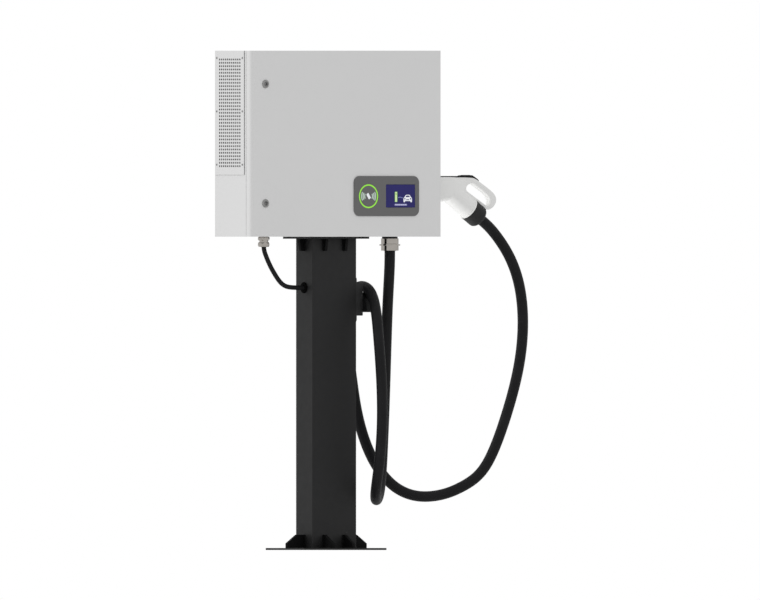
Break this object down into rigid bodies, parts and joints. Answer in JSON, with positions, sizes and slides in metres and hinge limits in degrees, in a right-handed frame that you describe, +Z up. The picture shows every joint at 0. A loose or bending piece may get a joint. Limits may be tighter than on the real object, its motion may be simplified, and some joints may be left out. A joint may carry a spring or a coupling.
{
  "type": "ev charging post",
  "caption": "Cabinet on a rectangular steel post, with a hinged door, an operator panel, a side hook and a heavy cable whose connector parks in a side holster",
  "frame": {"origin": "Centre of the underside of the base plate, on the axis of the post, at ground level.", "axes": "+Z up the post. -Y out of the door, towards the user. +X to the right as seen facing the door, to the side of the connector holster."},
  "size_m": [1.1083, 0.3314, 1.498],
  "materials": {
    "white_paint": "light grey powder coat, fine grain, satin",
    "black_paint": "black powder coat, fine grain, satin",
    "zinc_steel": "zinc plated steel",
    "module_metal": "aluminium housing",
    "nickel": "nickel plated brass, satin",
    "copper": "bare copper bar",
    "cable_rubber": "black cable jacket",
    "black_rubber": "black moulded rubber",
    "black_plastic": "black moulded plastic, fine texture",
    "filter_mat": "grey filter fleece in a frame",
    "grey_plastic": "grey moulded plastic",
    "bezel_plastic": "dark grey smooth plastic",
    "white_plastic": "white moulded plastic, satin",
    "circuit_board": "green circuit board",
    "screen": "smooth display cover",
    "green_plastic": "bright green translucent plastic"
  },
  "bodies": {
    "post": {"base_flange": "black_paint", "pole_tube": "black_paint", "top_flange": "black_paint", "cabinet_bolt_1": "zinc_steel", "cabinet_bolt_2": "zinc_steel", "cabinet_bolt_3": "zinc_steel", "cabinet_bolt_4": "zinc_steel", "cabinet_shell": "white_paint", "grille_cover": "white_paint", "dust_filter": "filter_mat", "hinge_upper_frame_leaf": "white_paint", "hinge_lower_frame_leaf": "white_paint", "hinge_upper_pin": "zinc_steel", "hinge_lower_pin": "zinc_steel", "mounting_plate": "zinc_steel", "power_module_upper": "module_metal", "power_module_lower": "module_metal", "fan_upper_frame": "black_plastic", "fan_lower_frame": "black_plastic", "control_unit": "grey_plastic", "aux_power_supply": "module_metal", "input_breaker": "grey_plastic", "energy_meter": "grey_plastic", "dc_contactor": "black_plastic", "terminal_block": "grey_plastic", "earth_bar": "copper", "supply_gland_body": "nickel", "supply_gland_locknut": "nickel", "supply_gland_nut": "nickel", "charge_gland_body": "nickel", "charge_gland_locknut": "nickel", "charge_gland_nut": "nickel", "supply_cable": "cable_rubber", "pole_grommet": "black_rubber", "cable_hook": "black_plastic", "hook_screw_upper": "zinc_steel", "hook_screw_lower": "zinc_steel", "holster_socket": "black_plastic", "charge_cable": "cable_rubber"},
    "door": {"door_panel": "white_paint", "door_gasket": "black_rubber", "hinge_upper_door_leaf": "white_paint", "hinge_lower_door_leaf": "white_paint", "lock_upper_housing": "nickel", "lock_lower_housing": "nickel", "display_bezel": "bezel_plastic", "display_screen": "screen", "operator_board": "circuit_board", "reader_ring": "green_plastic"},
    "lock_upper": {"lock_upper_core": "zinc_steel"},
    "lock_lower": {"lock_lower_core": "zinc_steel"},
    "fan_upper": {"fan_upper_rotor": "black_plastic"},
    "fan_lower": {"fan_lower_rotor": "black_plastic"},
    "toggle": {"breaker_toggle": "black_plastic"},
    "gun": {"gun_shell_front": "white_plastic", "gun_shell_rear": "white_plastic", "gun_top_strip": "black_plastic", "gun_nose": "black_plastic", "gun_boot": "black_rubber"},
    "button": {"gun_button": "black_plastic"}
  },
  "joints": [
    {"name": "door_hinge", "type": "hinge", "parent": "post", "child": "door", "pos_m": [0.365, -0.0765, 1.219], "axis": [0, 0, 1], "range_deg": [0, 110]},
    {"name": "lock_upper_turn", "type": "hinge", "parent": "door", "child": "lock_upper", "pos_m": [-0.301, -0.08, 1.398], "axis": [0, -1, 0], "range_deg": [0, 90]},
    {"name": "lock_lower_turn", "type": "hinge", "parent": "door", "child": "lock_lower", "pos_m": [-0.301, -0.08, 1.04], "axis": [0, -1, 0], "range_deg": [0, 90]},
    {"name": "fan_upper_spin", "type": "hinge", "parent": "post", "child": "fan_upper", "pos_m": [-0.21, 0.0272, 1.3505], "axis": [1, 0, 0], "continuous": true},
    {"name": "fan_lower_spin", "type": "hinge", "parent": "post", "child": "fan_lower", "pos_m": [-0.21, 0.0272, 1.1265], "axis": [1, 0, 0], "continuous": true},
    {"name": "breaker_switch", "type": "hinge", "parent": "post", "child": "toggle", "pos_m": [-0.286, 0.0062, 1.0825], "axis": [1, 0, 0], "range_deg": [0, 50]},
    {"name": "connector_slide", "type": "slide", "parent": "post", "child": "gun", "axis": [1, 0, 0], "range_m": [0, 0.07], "deforming": ["charge_cable"]},
    {"name": "button_press", "type": "slide", "parent": "gun", "child": "button", "axis": [0, 0, -1], "range_m": [0, 0.0025], "stiffness_N_per_m": 900, "springref_m": -0.0006}
  ]
}
